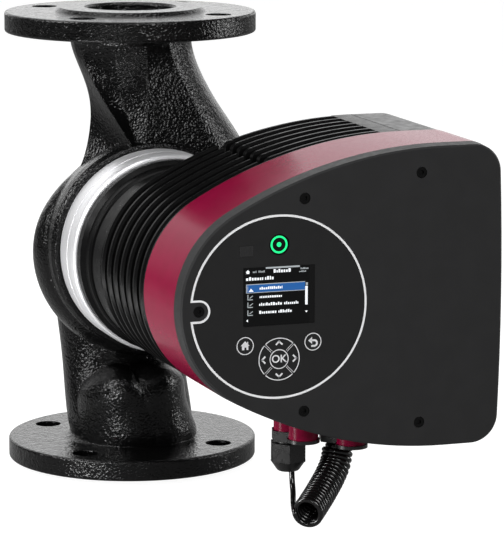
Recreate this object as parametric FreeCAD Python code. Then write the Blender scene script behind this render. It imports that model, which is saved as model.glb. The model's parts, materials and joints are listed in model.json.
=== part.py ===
import FreeCAD, Part

# Wet-rotor circulator pump with two in-line flanged ports and a control box.
# Frame: origin at the centre of the lower port face, +Z up the pipe axis.
# The motor axis runs along Y through x = 0, z = AXIS_Z, and the control panel faces -Y.
import math
import os

V = FreeCAD.Vector
X_DIR, Y_DIR, Z_DIR = V(1, 0, 0), V(0, 1, 0), V(0, 0, 1)
NODES = {}

# ---------------------------------------------------------------- driving dimensions, mm
PORT_TO_PORT = 340.0        # between the two port faces
AXIS_Z = PORT_TO_PORT / 2   # height of the motor axis

# ports and flanges
PORT_BORE_R = 32.5
PORT_BORE_DEPTH = 20.0      # machined bore, from the port face
PORT_CHAMFER = 1.8
PASSAGE_R = 31.0            # cast passage behind the machined bore
FLANGE_R = 92.5
FLANGE_T = 15.0
FLANGE_EDGE_R = 1.8
FACE_R = 52.5               # raised sealing face
FACE_H = 3.0
FACE_TAPER = 3.0
BOLT_CIRCLE_R = 72.5
BOLT_HOLE_R = 9.5
BOLT_COUNT = 4
NECK_R = 45.5
NECK_FILLET = 7.0
CAST_WALL = 7.0             # wall of the cast passages

# volute and its outlet
VOLUTE_CENTRE_R = 57.0
VOLUTE_Y = -26.0
VOLUTE_SIDE_R = 25.5        # outer section radius on the side away from the outlet
VOLUTE_GROWTH = 0.045       # added section radius per degree after that
TONGUE_GROWTH = 0.21        # and before it, from the tongue
VOLUTE_START_DEG = 135.0
VOLUTE_END_DEG = 375.0
VOLUTE_STEP_DEG = 30.0
VOLUTE_TUCK = 9.0           # the volute's outside runs out inside the neck
CHAMBER_R = 51.0            # round chamber that the impeller turns in
CHAMBER_BACK_Y = -8.0
INLET_BACK_Y = 74.0         # rearmost point of the casting
INLET_HALF_DEPTH = 40.5
EYE_R = 30.0

# the two shoulders of the lower neck, section by section upwards:
# height, middle and half width along X, middle and half depth along Y
LEFT_SHOULDER = [(17.0, -4.0, 42.0, -6.0, 41.5), (45.0, -9.0, 36.0, -10.0, 40.5),
                 (58.0, -15.0, 27.0, -14.0, 37.0), (66.0, -17.5, 18.5, -18.0, 31.5),
                 (72.5, -17.5, 10.0, -22.0, 21.0), (75.5, -17.5, 4.0, -25.0, 10.0)]
RIGHT_SHOULDER = [(17.0, 3.0, 41.0, -6.0, 41.5), (45.0, 3.0, 35.0, -10.0, 40.5),
                  (58.0, 4.0, 31.0, -14.0, 37.0), (66.0, 6.5, 25.5, -18.0, 31.5),
                  (74.0, 8.0, 15.0, -22.0, 21.0), (77.0, 8.0, 6.0, -25.0, 10.0)]

# head joint: clamp, seal and thin metal can
JOINT_Y = -78.0
HEAD_BACK_Y = -60.0         # rear end of the clamped flange of the casting
HEAD_FLANGE_R = 70.0
HEAD_NECK_R = 64.5
HEAD_BODY_R = 77.5
CLAMP_R = 72.5
CLAMP_SHEET = 2.0
CLAMP_BACK_Y = -62.0
CLAMP_FRONT_Y = -95.0
CLAMP_GROOVE_Y = -80.0
CLAMP_GROOVE = 0.8
CLAMP_LIP_R = 66.0
CLAMP_GAP = 0.3
LUG_DEG = -15.0             # where the clamp's two lugs sit, from +X towards +Z
LUG_LENGTH = 13.0
LUG_WIDTH = 16.0
LUG_THICK = 5.0
LUG_SPLIT = 5.0
CLAMP_SCREW_R = 3.0
CLAMP_HEAD_T = 6.0
HOLE_PLAY = 0.15            # radial play of a screw in its hole
SEAT_GAP = 0.15             # play between nested pieces of one body
CAN_FLANGE_R = 57.5
CAN_FLANGE_T = 1.2
GASKET_R = 1.2

# wet end and rotor
IMPELLER_R = 47.0
IMPELLER_HUB_Y = -46.0      # motor side of the impeller
IMPELLER_WIDTH = 10.0       # height of the vanes at the rim
SHROUD_T = 2.0
VANE_COUNT = 7
VANE_T = 2.2
VANE_WRAP_DEG = 75.0
IMPELLER_EYE_R = 22.0
IMPELLER_EYE_WALL = 2.2
RING_GAP = 0.4              # impeller eye inside the neck ring
RING_WALL = 3.0
RING_LENGTH = 8.0
SHAFT_R = 6.0
SHAFT_NUT_R = 8.5           # across the corners of the impeller nut, halved
BEARING_PLAY = 0.03         # radial running clearance of the shaft
BEARING_R = 11.0
BEARING_LENGTH = 16.0
PLATE_T = 4.0
PLATE_DISH_Y = -53.0        # impeller side of the dished bearing plate
PLATE_DISH_R = 44.0
ROTOR_R = 28.6
ROTOR_SLEEVE = 0.4
ROTOR_FRONT_Y = -182.0
ROTOR_BACK_Y = -98.0
THRUST_T = 5.0
AIR_GAP = 1.2
CAN_WALL = 0.6
CAN_END_Y = -204.0

# stator and its cast housing
CORE_R = 50.0
CORE_BACK_Y = -108.0
CORE_FRONT_Y = -176.0
SLOT_COUNT = 12
SLOT_IN_R = 35.0
SLOT_OUT_R = 45.0
SLOT_WIDTH = 7.0
COIL_OVERHANG = 13.0
BARREL_RING_R = 69.5
BARREL_RING_Y = -105.0
BARREL_RIDGE_R = 66.8
BARREL_GROOVE_R = 63.6
BARREL_R = 65.3
POT_WALL = 4.0              # wall round the core inside the heat sink
POT_R = CORE_R + POT_WALL
POT_END_Y = -210.0
POT_END_T = 5.0

# control box outline, as seen from the front; its centre line is at AXIS_Z
NOSE_X = -62.8
NOSE_R = 71.5
NOSE_DEG = 60.0             # the nose arc ends here, from the -X direction
BOX_TOP = 102.3             # half height of the box
BOX_RIGHT = 165.2
BOX_CORNER_R = 20.0
BOX_BOW_R = 2000.0          # slight bow of the right side

# control box along Y
COVER_Y = -312.0
COVER_BACK_Y = -300.0
FRAME_BACK_Y = -238.0
SINK_BACK_Y = -140.0
FRAME_GROWTH = 1.2          # the nose leans out this much over the coloured frame
SINK_GROWTH = 3.0           # and this much by the rear end of the heat sink
SINK_INSET = 0.3            # the heat sink stands in from the frame
FIN_COUNT = 7
FIN_PITCH = 14.2
FIN_T = 5.8
FIN_FRONT_Y = -231.0
FIN_DEPTH = 12.0
FIN_NOSE = 1.6
SINK_WALL = 3.4             # metal left round the stator pot
SINK_SCREW_INSET = 16.0     # from the pot's outside to its screws
FIN_GAP_X = 19.5
FIN_GAP_WIDTH = 5.5
FIN_END_R = 6.0
FIN_END_X = 106.0
SPLIT_X = 120.0             # joint between heat sink and plastic end housing
SPLIT_GAP = 0.7
POCKET_Y = -218.0           # floor of the pocket for the electronics
POCKET_INSET = 17.0
END_WALL = 4.0
FRAME_WALL = 4.0
POST_R = 5.5
WEB_T = 3.0
WEB_REACH = 20.0
FRAME_LUGS = [(-41.0, 38.0), (-41.0, -38.0), (84.0, 91.0), (84.0, -91.0)]
FRAME_LUG_R = 8.0
FRAME_LUG_T = 5.0
SHORT_SCREW = 15.0          # shank length of the screws inside the box
LONG_SCREW = 30.0           # and of the cover screws
BEYOND = 20.0               # cutting blocks reach this far outside what they cut

# electronics inside the box
POWER_BOARD_GAP = 2.0       # behind the frame's rear edge
POWER_BOARD_INSET = 24.0
POWER_BOARD_END_X = 104.0
BOARD_POSTS = [(-20.0, 34.0), (-20.0, -34.0), (96.0, 62.0), (96.0, -62.0)]
BOARD_POST_R = 4.0
POCKET_END_WALL = 10.0
LARGE_CAN = (10.0, 34.0)    # radius and length
LARGE_CAN_X = [62.0, 86.0]
LARGE_CAN_Z = 30.0
SMALL_CAN = (7.0, 26.0)
SMALL_CAN_X = [70.0, 88.0]
SMALL_CAN_Z = -8.0
STRIP_X = 30.0              # terminal strip: left end, lower edge, height and depth
STRIP_Z = -66.0
STRIP_HEIGHT = 20.0
STRIP_DEPTH = 22.0
WAY_COUNT = 6
WAY_PITCH = 10.0
WAY_WIDTH = 6.0
WAY_MARGIN = 4.0

# front cover and operator panel
COVER_PLATE = 3.0
COVER_WALL = 3.5
COVER_DRAFT = 0.8
COVER_EDGE = 1.2
COVER_EDGE_INSET = 2.0
SEAL_INSET = 1.3
SEAL_WIDTH = 1.2
SEAL_T = 1.0
SCREW_HEAD_R = 3.5
SCREW_SHANK_R = 2.0
SCREW_HEAD_T = 2.4
SCREW_SINK = 0.6
COVER_SCREWS = [(105.4, 84.3), (23.4, 71.0), (-49.5, 0.0), (23.4, -71.0), (105.4, -84.3)]
PANEL_X = 5.7
PANEL_R = 60.6
PANEL_DEPTH = 0.9
TRIM_WIDTH = 1.4
TRIM_PROUD = 0.25
NOTCH_R = 7.0
DISPLAY_X, DISPLAY_Z = 5.7, 7.6
DISPLAY_W, DISPLAY_H = 49.3, 38.8
KEY_R = 6.0
KEY_Z = -24.5
KEY_SPREAD = 23.6           # home and back keys either side of the panel centre
PAD_Z = -34.7
PAD_R = 14.3
OK_R = 6.6
PAD_SPLIT = 0.7             # slit between neighbouring arrow keys
KEY_GAP = 0.3
KEY_PROUD = 0.4
KEY_TRAVEL = 0.5
KEY_LIP = 1.2
KEY_LIP_T = 0.8
LAMP_Z = 41.4
LAMP_R = 6.7
LAMP_SINK = 0.5
SENSOR_X, SENSOR_Z = -16.9, 38.1
SENSOR_W, SENSOR_H = 9.6, 7.0
BOARD_Y = -305.0
BOARD_R = 48.5
BOARD_T = 1.6

# cable entries below the box
ENTRY_X = [33.0, 67.5]
ENTRY_Y = [-285.0, -255.0]
ENTRY_BOTTOM = [74.0, 68.0]
ENTRY_R = 10.0
ENTRY_BORE_R = 8.0
PLUG_FLANGE_R = 11.0
PLUG_FLANGE_T = 2.3
GLAND_HEX = 21.5            # across flats
GLAND_COLLAR_T = 7.0
GLAND_NECK_T = 1.6
GLAND_NECK_R = 9.0
NUT_HEX = 22.5
NUT_T = 13.0
DOME_T = 7.0
STUB_LENGTH = 12.0
SLEEVE_R = 5.6
SLEEVE_T = 9.0
CABLE_R = 1.95
COIL_R = 11.0

# free lead: from the gland down into the end of the curly part, points of the route
LEAD_ROUTE = [(35.2, -256.0, 46.0), (35.2, -257.0, 38.0), (34.2, -262.0, 31.5),
              (31.0, -271.0, 28.0), (27.6, -281.0, 27.0), (25.2, -289.0, 23.5)]
# middle line of the curly part, from its open lower end up to its entry
COIL_ROUTE = [(33.4, -292.5, 24.0), (42.5, -281.0, 27.5), (52.5, -270.0, 33.5),
              (61.5, -261.5, 41.0), (68.0, -256.5, 50.5), (69.0, -255.0, 60.5)]


# ---------------------------------------------------------------- helpers
def keep(name, *solids):
    """Hold the solids of one node; the same node may be one solid or a group."""
    NODES[name] = solids[0] if len(solids) == 1 else Part.makeCompound(list(solids))


def box(x0, x1, y0, y1, z0, z1):
    return Part.makeBox(x1 - x0, y1 - y0, z1 - z0, V(x0, y0, z0))


def rod(radius, y_back, y_front, x=0.0, z=0.0):
    """Cylinder along Y; z counts from the motor axis."""
    return Part.makeCylinder(radius, y_back - y_front, V(x, y_front, AXIS_Z + z), Y_DIR)


def ring(r_out, r_in, y_back, y_front, x=0.0, z=0.0):
    hole = rod(r_in, y_back + 1, y_front - 1, x, z)
    return rod(r_out, y_back, y_front, x, z).cut(hole)


def upright(radius, z_low, z_high, x, y):
    return Part.makeCylinder(radius, z_high - z_low, V(x, y, z_low), Z_DIR)


def hexagon(across_flats, z_low, z_high, x, y):
    corner = across_flats / math.sqrt(3)
    points = [V(x + corner * math.cos(math.radians(60 * k + 15)),
                y + corner * math.sin(math.radians(60 * k + 15)), z_low) for k in range(6)]
    return Part.Face(Part.makePolygon(points + points[:1])).extrude(V(0, 0, z_high - z_low))


def turned(profile, around_motor=True):
    """Revolve (radius, place along the axis) points about the motor or the pipe axis."""
    if around_motor:
        points = [V(r, along, AXIS_Z) for r, along in profile]
        face = Part.Face(Part.makePolygon(points + points[:1]))
        return face.revolve(V(0, 0, AXIS_Z), Y_DIR, 360)
    points = [V(r, 0, along) for r, along in profile]
    face = Part.Face(Part.makePolygon(points + points[:1]))
    return face.revolve(V(0, 0, 0), Z_DIR, 360)


def rounded(shape, radius, pick):
    """Fillet the edges that pick() accepts, with the radius limited by what will build."""
    edges = [edge for edge in shape.Edges if pick(edge)]
    return shape.makeFillet(radius, edges) if edges else shape


def oval(x, y, z, half_x, half_y):
    """Closed elliptical wire in a horizontal plane."""
    count = 16
    points = []
    for k in range(count):
        turn = 2 * math.pi * k / count
        points.append(V(x + half_x * math.cos(turn), y + half_y * math.sin(turn), z))
    spline = Part.BSplineCurve()
    spline.interpolate(Points=points, PeriodicFlag=True)
    return Part.Wire([spline.toShape()])


def circle_wire(centre, normal, radius):
    return Part.Wire([Part.Circle(centre, normal, radius).toShape()])


def nose_growth(y):
    """How far the nose of the box leans out at this depth; top, bottom and right stay straight."""
    if y < FRAME_BACK_Y:
        share = max(0.0, (y - COVER_BACK_Y) / (FRAME_BACK_Y - COVER_BACK_Y))
        return FRAME_GROWTH * share
    share = (y - FRAME_BACK_Y) / (SINK_BACK_Y - FRAME_BACK_Y)
    return FRAME_GROWTH + (SINK_GROWTH - FRAME_GROWTH) * share


def outline(y, inset):
    """Closed wire of the box outline, moved inwards by inset; every arc keeps its centre."""
    nose_c = NOSE_X + NOSE_R - nose_growth(y)
    nose = NOSE_R - inset
    lean = math.radians(NOSE_DEG)
    turn_x = nose_c - NOSE_R * math.cos(lean)
    turn_z = NOSE_R * math.sin(lean)
    shoulder_r = (BOX_TOP - turn_z) / (1 - math.cos(math.pi / 2 - lean))
    top_x = turn_x + shoulder_r * math.sin(math.pi / 2 - lean)
    shoulder_c = BOX_TOP - shoulder_r
    shoulder = shoulder_r - inset
    top = BOX_TOP - inset
    corner_cz = BOX_TOP - BOX_CORNER_R
    corner = BOX_CORNER_R - inset
    bow_c = BOX_RIGHT - BOX_BOW_R
    corner_cx = bow_c + math.sqrt((BOX_BOW_R - BOX_CORNER_R) ** 2 - corner_cz ** 2)
    bow_turn = math.atan2(corner_cz, corner_cx - bow_c)

    def at(x, z):
        return V(x, y, AXIS_Z + z)

    def on_arc(cx, cz, radius, turn):
        return at(cx + radius * math.cos(turn), cz + radius * math.sin(turn))

    upper_turn = math.pi - lean
    mid_shoulder = (upper_turn + math.pi / 2) / 2
    mid_corner = (bow_turn + math.pi / 2) / 2
    edges = []
    a = on_arc(nose_c, 0, nose, -upper_turn)
    b = on_arc(nose_c, 0, nose, upper_turn)
    edges.append(Part.Arc(a, at(nose_c - nose, 0), b).toShape())
    c = at(top_x, top)
    edges.append(Part.Arc(b, on_arc(top_x, shoulder_c, shoulder, mid_shoulder), c).toShape())
    d = at(corner_cx, top)
    edges.append(Part.makeLine(c, d))
    e = on_arc(corner_cx, corner_cz, corner, bow_turn)
    edges.append(Part.Arc(d, on_arc(corner_cx, corner_cz, corner, mid_corner), e).toShape())
    f = on_arc(corner_cx, -corner_cz, corner, -bow_turn)
    edges.append(Part.Arc(e, at(BOX_RIGHT - inset, 0), f).toShape())
    g = at(corner_cx, -top)
    edges.append(Part.Arc(f, on_arc(corner_cx, -corner_cz, corner, -mid_corner), g).toShape())
    h = at(top_x, -top)
    edges.append(Part.makeLine(g, h))
    edges.append(Part.Arc(h, on_arc(top_x, -shoulder_c, shoulder, -mid_shoulder), a).toShape())
    return Part.Wire(edges)


def drafted(y0, inset0, y1, inset1):
    """Solid between two box outlines."""
    return Part.makeLoft([outline(y0, inset0), outline(y1, inset1)], True, True)


def tangent_path(points, factor=0.45):
    """Straight runs joined by tangent arcs, as large as the two runs of each corner allow."""
    spots = [V(*point) for point in points]
    edges = []
    radii = []
    start = spots[0]
    for before, corner, after in zip(spots, spots[1:], spots[2:]):
        in_dir = (corner - before).normalize()
        out_dir = (after - corner).normalize()
        turn = in_dir.getAngle(out_dir)
        shorter = min(before.distanceToPoint(corner), corner.distanceToPoint(after))
        tangent = factor * shorter
        radius = tangent / math.tan(turn / 2)
        radii.append(radius)
        p_in = corner - in_dir * tangent
        p_out = corner + out_dir * tangent
        inward = (out_dir - in_dir).normalize()
        middle = corner + inward * (radius / math.cos(turn / 2) - radius)
        edges.append(Part.LineSegment(start, p_in).toShape())
        edges.append(Part.Arc(p_in, middle, p_out).toShape())
        start = p_out
    edges.append(Part.LineSegment(start, spots[-1]).toShape())
    return Part.Wire(edges), radii


def tube_along(points, radius, name):
    """Plain solid of one stretch of cord; prints its length and its radii."""
    path, radii = tangent_path(points)
    start = V(*points[0])
    section = circle_wire(start, V(*points[1]) - start, radius)
    solid = path.makePipeShell([section], True, False)
    expected = math.pi * radius ** 2 * path.Length
    print(name, "length", round(path.Length, 1), "radii", [round(r, 1) for r in radii],
          "volume ratio", round(solid.Volume / expected, 4))
    return solid


# ---------------------------------------------------------------- pump housing
def port_flange():
    """Lower flange with its raised face, rounded rim and cast fillet to the neck."""
    top = FACE_H + FLANGE_T
    edge = FLANGE_EDGE_R
    plate = turned([(0, FACE_H), (FLANGE_R, FACE_H), (FLANGE_R, top), (0, top)], False)
    plate = rounded(plate, edge, lambda e: abs(e.BoundBox.XMax - FLANGE_R) < 0.01
                    and e.BoundBox.ZLength < 0.01)
    face = turned([(0, 0), (FACE_R, 0), (FACE_R + FACE_TAPER, FACE_H),
                   (FACE_R + FACE_TAPER, FACE_H + 1), (0, FACE_H + 1)], False)
    cove = [(NECK_R - 3, top - 1), (NECK_R + NECK_FILLET, top - 1), (NECK_R + NECK_FILLET, top)]
    steps = 6
    for k in range(1, steps + 1):
        turn = math.pi / 2 * k / steps
        cove.append((NECK_R + NECK_FILLET * (1 - math.sin(turn)),
                     top + NECK_FILLET * (1 - math.cos(turn))))
    cove.append((NECK_R - 3, top + NECK_FILLET))
    return plate.fuse([face, turned(cove, False)])


def volute_radius(degrees):
    """Outer radius of the volute section; it grows quickly at first from the tongue."""
    past_side = degrees - 180.0
    return VOLUTE_SIDE_R + (VOLUTE_GROWTH if past_side > 0 else TONGUE_GROWTH) * past_side


def volute_sections():
    """Centre, direction and outer radius of each section round the volute."""
    sections = []
    degrees = VOLUTE_START_DEG
    while degrees <= VOLUTE_END_DEG + 0.1:
        turn = math.radians(degrees)
        centre = V(VOLUTE_CENTRE_R * math.cos(turn), VOLUTE_Y,
                   AXIS_Z + VOLUTE_CENTRE_R * math.sin(turn))
        sections.append((centre, V(-math.sin(turn), 0, math.cos(turn)), volute_radius(degrees)))
        degrees += VOLUTE_STEP_DEG
    return sections


def outlet_sections():
    """The same for the outlet, which leans back to the pipe axis and widens to the port."""
    sections = []
    for x, y, rise, radius, lean in ((47.0, -25.0, 52.0, 34.0, 18.0), (33.0, -22.0, 76.0, 35.5, 24.0),
                                     (17.0, -13.0, 103.0, 38.0, 22.0), (3.0, -3.0, 131.0, 42.0, 12.0)):
        tilt = math.radians(lean)
        sections.append((V(x, y, AXIS_Z + rise), V(-math.sin(tilt), 0, math.cos(tilt)), radius))
    return sections


def round_loft(sections, shrink=0.0):
    return Part.makeLoft([circle_wire(centre, normal, radius - shrink)
                          for centre, normal, radius in sections], True, False)


def bowed(start, end, bow):
    """Arc between two points that bows out to the right of its way by a share of its chord."""
    chord = end - start
    middle = (start + end) * 0.5 + V(chord.y, -chord.x, 0) * bow
    return Part.Arc(start, middle, end).toShape()


def neck_section(rise, left, ridge, valley, parting, crease, right, back):
    """Section of the upper neck: a flat left facet, a valley, a parting edge, a flat face and
    a round side and back, all given as (x, y) at a height above the motor axis."""
    spots = [V(x, y, AXIS_Z + rise) for x, y in (left, ridge, valley, parting, crease, right, back)]
    edges = [Part.makeLine(spots[k], spots[k + 1]) for k in range(4)]
    edges.append(bowed(spots[4], spots[5], 0.12))
    edges.append(bowed(spots[5], spots[6], 0.2))
    edges.append(bowed(spots[6], spots[0], 0.2))
    return Part.Wire(edges)


def upper_neck():
    return Part.makeLoft([
        neck_section(50, (-51, -28), (-30, -58), (-16, -57), (-9, -59), (43, -56), (80, -26), (20, 8)),
        neck_section(72, (-38.5, -17), (-17.5, -60), (-13, -56), (-7.8, -60), (45, -55),
                     (77.5, -25), (19, 12)),
        neck_section(89, (-34.5, -12), (-24, -50), (-15, -47), (-5.4, -57), (38.8, -52),
                     (67.5, -21), (14, 18)),
        neck_section(110, (-34.8, -8), (-33.3, -31), (-19, -38), (-3.1, -51), (29.5, -48),
                     (56, -13), (8, 30)),
        neck_section(132, (-41.5, -6), (-39.5, -15), (-22, -36), (-1.6, -46), (20, -44),
                     (47.5, -6), (2, 42)),
        neck_section(153, (-45, -10), (-39, -24), (-23, -39), (-1, -46), (17, -43),
                     (45.5, -8), (0, 46)),
    ], True, False)


def shoulder(sections):
    """One of the two shoulders in front of the lower neck; they part in a V near their tops."""
    return Part.makeLoft([oval(x, y, z, half_x, half_y) for z, x, half_x, y, half_y in sections],
                         True, False)


def cast_outside():
    flange = port_flange()
    upper_flange = flange.mirror(V(0, 0, AXIS_Z), Z_DIR)
    foot, (centre, normal, radius) = outlet_sections()[:2]
    volute = round_loft(volute_sections() + [foot, (centre, normal, radius - VOLUTE_TUCK)])
    neck_z = FACE_H + FLANGE_T - 1
    centre_y = INLET_BACK_Y - INLET_HALF_DEPTH
    inlet = Part.makeLoft([oval(0, 0, neck_z, NECK_R, NECK_R), oval(-1.0, 8, 44, 47.0, 44.5),
                           oval(0, 26, 82, 46.5, 40), oval(0, centre_y, 118, 49, INLET_HALF_DEPTH),
                           oval(0, centre_y, 160, 50, INLET_HALF_DEPTH),
                           oval(0, centre_y - 4, 196, 42, 35), oval(0, centre_y - 12, 218, 24, 22)],
                          True, False)
    head = turned([(0, 30), (40, 30), (56, 18), (66, 0), (69, -10), (73, -26), (HEAD_BODY_R - 1, -42),
                   (HEAD_BODY_R, -48), (HEAD_BODY_R, -56), (HEAD_BODY_R - 2, HEAD_BACK_Y),
                   (HEAD_NECK_R, HEAD_BACK_Y), (HEAD_NECK_R, -65), (HEAD_FLANGE_R, -67),
                   (HEAD_FLANGE_R, JOINT_Y), (0, JOINT_Y)])
    shoulders = [shoulder(LEFT_SHOULDER), shoulder(RIGHT_SHOULDER)]
    return upper_flange.fuse([flange, volute, upper_neck(), inlet, head] + shoulders)


def cast_passages():
    """Everything that is cut out of the casting: bores, passages, chamber and mouth."""
    cuts = []
    for base, sign in ((0.0, 1), (PORT_TO_PORT, -1)):
        low = min(base - sign, base + sign * PORT_BORE_DEPTH)
        cuts.append(Part.makeCylinder(PORT_BORE_R, PORT_BORE_DEPTH + 1, V(0, 0, low), Z_DIR))
        cuts.append(Part.makeCone(PORT_BORE_R + PORT_CHAMFER + 1, PORT_BORE_R, PORT_CHAMFER + 1,
                                  V(0, 0, base - sign), V(0, 0, sign)))
        for k in range(BOLT_COUNT):
            turn = 2 * math.pi * (k + 0.5) / BOLT_COUNT
            low = min(base - sign, base + sign * (FACE_H + FLANGE_T + 1))
            cuts.append(upright(BOLT_HOLE_R, low, low + FACE_H + FLANGE_T + 2,
                                BOLT_CIRCLE_R * math.cos(turn), BOLT_CIRCLE_R * math.sin(turn)))
    outlet = [(centre, normal, radius - CAST_WALL) for centre, normal, radius in
              volute_sections() + outlet_sections()[:3]]
    outlet.append((V(3, -3, AXIS_Z + 125), V(-0.12, 0, 0.99), PASSAGE_R))
    outlet.append((V(0, 0, PORT_TO_PORT - PORT_BORE_DEPTH + 1), Z_DIR, PASSAGE_R))
    cuts.append(round_loft(outlet))
    half = INLET_HALF_DEPTH - CAST_WALL
    centre_y = INLET_BACK_Y - CAST_WALL - half
    cuts.append(Part.makeLoft([
        oval(0, 0, PORT_BORE_DEPTH - 1, PASSAGE_R, PASSAGE_R), oval(0, 3, 40, PASSAGE_R, PASSAGE_R),
        oval(0, 12, 62, 33, 29), oval(0, 30, 84, 36, 26), oval(0, centre_y + 3, 112, 40, half - 4),
        oval(0, centre_y + 3, 158, 40, half - 4), oval(0, centre_y, 192, 31, half - 8)], True, False))
    cuts.append(rod(EYE_R, 40, CHAMBER_BACK_Y - 1))
    cuts.append(rod(CHAMBER_R, CHAMBER_BACK_Y, JOINT_Y - 1))
    cuts.append(rod(CAN_FLANGE_R + SEAT_GAP, JOINT_Y + PLATE_T, JOINT_Y - 1))
    cuts.append(rod(CAN_FLANGE_R + 2 * GASKET_R + SEAT_GAP, JOINT_Y + 2 * GASKET_R, JOINT_Y - 1))
    return cuts


def make_housing():
    outside = cast_outside()
    keep("pump_housing", outside.cut(cast_passages()))
    ring_in = IMPELLER_EYE_R + IMPELLER_EYE_WALL + RING_GAP
    keep("neck_ring", ring(EYE_R, ring_in, CHAMBER_BACK_Y + RING_LENGTH, CHAMBER_BACK_Y))
    seal_in = CAN_FLANGE_R + SEAT_GAP
    seal_out = seal_in + 2 * GASKET_R - SEAT_GAP
    seal_back = JOINT_Y + 2 * GASKET_R - SEAT_GAP
    keep("housing_gasket", ring(seal_out, seal_in, seal_back, JOINT_Y + SEAT_GAP))


# ---------------------------------------------------------------- wet end and rotor
def around_axis(radius, turn, y):
    """Point at a radius and an angle round the motor axis."""
    return V(radius * math.cos(turn), y, AXIS_Z + radius * math.sin(turn))


def make_impeller():
    hub_y = IMPELLER_HUB_Y
    rim_y = hub_y + SHROUD_T + IMPELLER_WIDTH
    eye_front = CHAMBER_BACK_Y - 2.0
    slope = 5.0
    back = turned([(SHAFT_R, hub_y), (IMPELLER_R, hub_y), (IMPELLER_R, hub_y + SHROUD_T),
                   (16, hub_y + SHROUD_T + 1), (SHAFT_R + 5, hub_y + 14), (SHAFT_R, hub_y + 14)])
    r = IMPELLER_EYE_R
    wall = IMPELLER_EYE_WALL
    front = turned([(IMPELLER_R, rim_y), (IMPELLER_R, rim_y + SHROUD_T),
                    (r + wall + 3, rim_y + slope + SHROUD_T),
                    (r + wall, rim_y + slope + SHROUD_T + 3), (r + wall, CHAMBER_BACK_Y + RING_LENGTH),
                    (r, CHAMBER_BACK_Y + RING_LENGTH), (r, rim_y + slope + 2), (r + 4, rim_y + slope)])
    vanes = []
    steps = 6
    for k in range(VANE_COUNT):
        start = 2 * math.pi * k / VANE_COUNT
        inner, outer = [], []
        for n in range(steps + 1):
            share = n / steps
            radius = 17 + (IMPELLER_R - 17.2) * share
            turn = start - math.radians(VANE_WRAP_DEG) * share
            half = math.atan2(VANE_T / 2, radius) / max(math.cos(math.radians(60)), 0.5)
            inner.append(around_axis(radius, turn - half, hub_y + 1))
            outer.append(around_axis(radius, turn + half, hub_y + 1))
        one = Part.BSplineCurve()
        one.interpolate(inner)
        two = Part.BSplineCurve()
        two.interpolate(outer)
        wire = Part.Wire([one.toShape(), Part.makeLine(inner[-1], outer[-1]), two.toShape(),
                          Part.makeLine(outer[0], inner[0])])
        vanes.append(Part.Face(wire).extrude(V(0, IMPELLER_WIDTH + slope + 6, 0)))
    channel = turned([(10, hub_y), (IMPELLER_R, hub_y), (IMPELLER_R, rim_y + 1), (r + 4, rim_y + slope + 1),
                      (r + 0.5, rim_y + slope + 3), (10, rim_y + slope + 3)])
    vanes = [vane.common(channel) for vane in vanes]
    keep("impeller", back.fuse([front] + vanes))
    nut_y = hub_y + 14
    corners = [around_axis(SHAFT_NUT_R, math.pi * k / 3, nut_y) for k in range(7)]
    nut = Part.Face(Part.makePolygon(corners)).extrude(V(0, 7, 0))
    keep("impeller_nut", nut.cut(rod(SHAFT_R, nut_y + 8, nut_y - 1)))


def make_rotor():
    hub_y = IMPELLER_HUB_Y
    shaft_back = hub_y + 22
    shaft_front = ROTOR_FRONT_Y - BEARING_LENGTH - 2
    shaft = rod(SHAFT_R, shaft_back, shaft_front)
    keep("shaft", shaft)
    core = ring(ROTOR_R, SHAFT_R, ROTOR_BACK_Y, ROTOR_FRONT_Y)
    keep("rotor_core", core)
    keep("rotor_sleeve", ring(ROTOR_R + ROTOR_SLEEVE, ROTOR_R, ROTOR_BACK_Y, ROTOR_FRONT_Y))
    keep("thrust_bearing", ring(BEARING_R - 1, SHAFT_R, ROTOR_BACK_Y + THRUST_T, ROTOR_BACK_Y))


def make_bearings():
    plate_back = JOINT_Y + PLATE_T
    dish = PLATE_DISH_Y
    hole = BEARING_R
    plate = turned([(hole, dish), (PLATE_DISH_R, dish), (PLATE_DISH_R + 5, plate_back),
                    (CAN_FLANGE_R, plate_back), (CAN_FLANGE_R, JOINT_Y), (PLATE_DISH_R + 1, JOINT_Y),
                    (PLATE_DISH_R - 3, dish - PLATE_T),
                    (hole + 5, dish - PLATE_T), (hole + 5, dish - BEARING_LENGTH - 4),
                    (hole, dish - BEARING_LENGTH - 4)])
    keep("bearing_plate", plate)
    bore = SHAFT_R + BEARING_PLAY
    keep("wet_end_bearing", ring(BEARING_R, bore, dish - 4, dish - 4 - BEARING_LENGTH))
    can_r = ROTOR_R + ROTOR_SLEEVE + AIR_GAP
    end_y = CAN_END_Y
    can = turned([(can_r, JOINT_Y), (CAN_FLANGE_R, JOINT_Y), (CAN_FLANGE_R, JOINT_Y - CAN_FLANGE_T),
                  (can_r + CAN_WALL, JOINT_Y - CAN_FLANGE_T), (can_r + CAN_WALL, end_y), (0, end_y),
                  (0, end_y + CAN_WALL), (can_r, end_y + CAN_WALL)])
    keep("rotor_can", can)
    end_front = end_y + CAN_WALL
    end_back = ROTOR_FRONT_Y - 2
    keep("end_bearing", ring(BEARING_R, bore, end_back - 1, end_front + 1))
    keep("end_bearing_plate", ring(can_r, BEARING_R, end_back - 1, end_front))


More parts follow.
